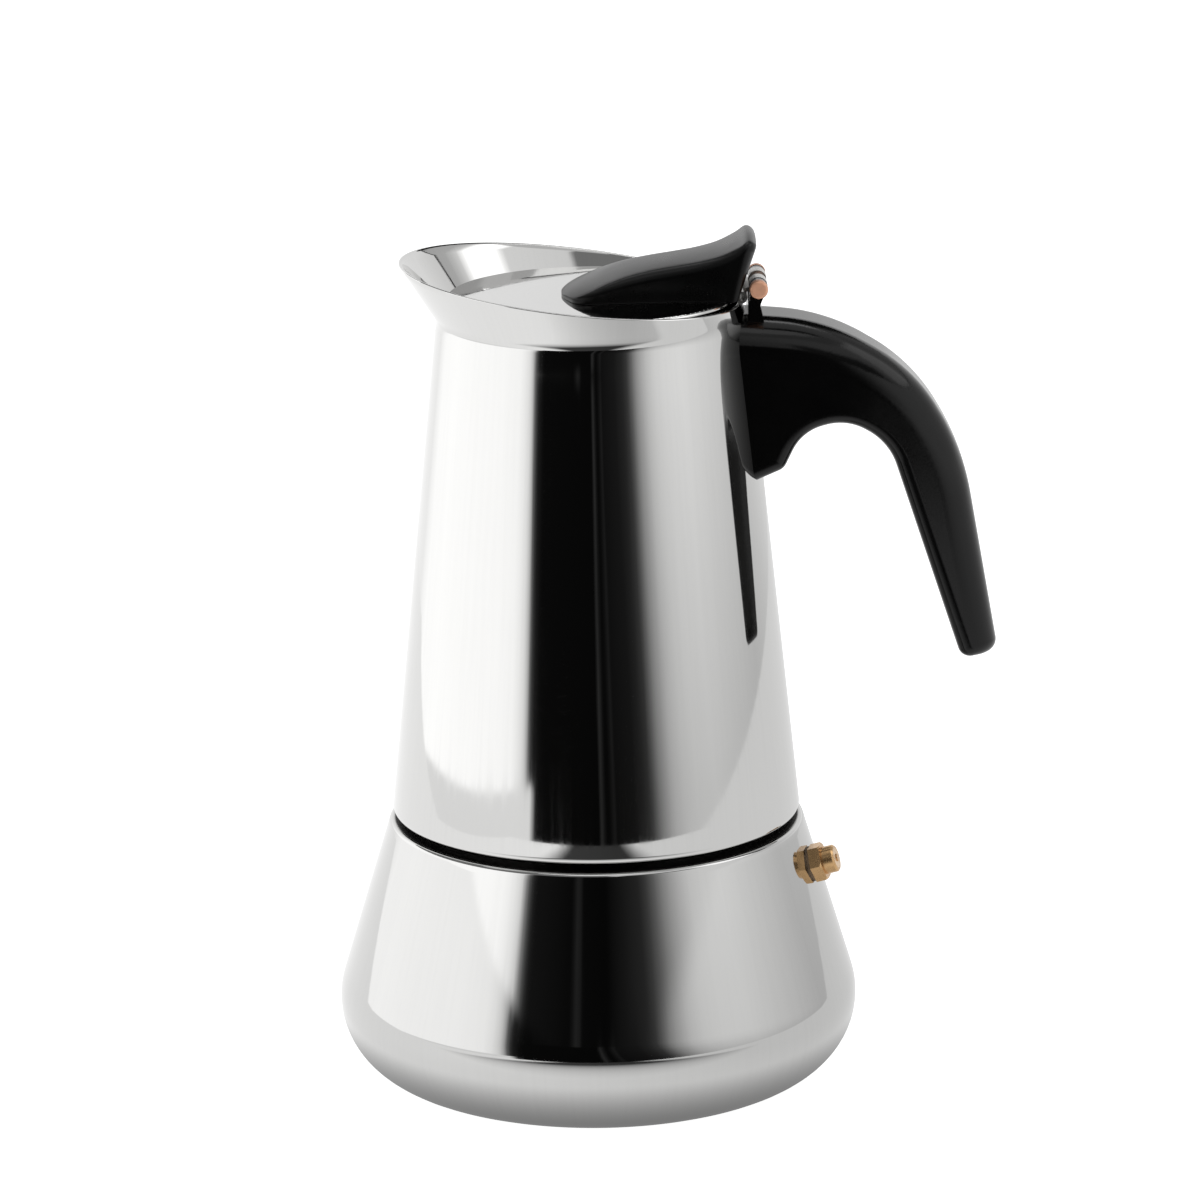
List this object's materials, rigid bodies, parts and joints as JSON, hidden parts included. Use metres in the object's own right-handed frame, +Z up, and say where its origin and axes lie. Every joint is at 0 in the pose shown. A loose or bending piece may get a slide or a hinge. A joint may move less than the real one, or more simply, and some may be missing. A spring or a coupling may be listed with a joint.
{
  "type": "moka pot",
  "caption": "Stovetop espresso pot: bulged boiler with safety valve, conical collector with a flared pouring rim, sunk hinged lid with lever knob, and a hook handle.",
  "frame": {"origin": "on the pot's axis, at the flat foot it stands on", "axes": "+Z up, +X towards the handle, -X towards the spout"},
  "size_m": [0.1458, 0.115, 0.1893],
  "materials": {
    "polished_steel": "mirror polished",
    "plain_steel": "satin",
    "black_plastic": "satin",
    "valve_brass": "polished",
    "pin_brass": "satin",
    "seal_rubber": "matte"
  },
  "bodies": {
    "boiler": {"boiler_shell": "polished_steel", "boiler_neck": "plain_steel", "valve_body": "valve_brass", "valve_washer": "seal_rubber", "valve_nut": "valve_brass", "valve_cap": "valve_brass", "valve_spring": "plain_steel"},
    "valve_pin": {"valve_pin": "valve_brass"},
    "funnel": {"funnel_basket": "plain_steel", "funnel_stem": "plain_steel", "funnel_plate": "plain_steel"},
    "gasket": {"gasket": "seal_rubber"},
    "collector": {"collector_shell": "polished_steel", "collector_base": "plain_steel", "filter_plate": "plain_steel", "chimney": "plain_steel", "chimney_cap": "plain_steel", "handle_bracket": "plain_steel", "handle": "black_plastic", "handle_screw": "plain_steel", "hinge_pin": "pin_brass", "hinge_nut": "pin_brass"},
    "lid": {"lid_disc": "polished_steel", "lid_hinge": "plain_steel", "lid_knob": "black_plastic", "knob_screws": "plain_steel"}
  },
  "joints": [
    {"name": "valve_lift", "type": "slide", "parent": "boiler", "child": "valve_pin", "axis": [0.9342, -0.2054, 0.2917], "range_m": [0, 0.001], "stiffness_N_per_m": 500, "springref_m": -0.002, "deforming": ["valve_spring"]},
    {"name": "funnel_lift", "type": "slide", "parent": "boiler", "child": "funnel", "axis": [0, 0, 1], "range_m": [0, 0.08]},
    {"name": "collector_rise", "type": "slide", "parent": "funnel", "child": "gasket", "axis": [0, 0, 1], "range_m": [0, 0.0061]},
    {"name": "collector_unscrew", "type": "hinge", "parent": "gasket", "child": "collector", "pos_m": [0, 0, 0.068], "axis": [0, 0, 1], "range_deg": [0, 720]},
    {"name": "lid_hinge", "type": "hinge", "parent": "collector", "child": "lid", "pos_m": [0.0362, 0, 0.1782], "axis": [0, 1, 0], "range_deg": [0, 125]}
  ],
  "couplings": [
    {"joint": "collector_rise", "follows": "collector_unscrew", "m_per_rad": 0.00047746}
  ]
}
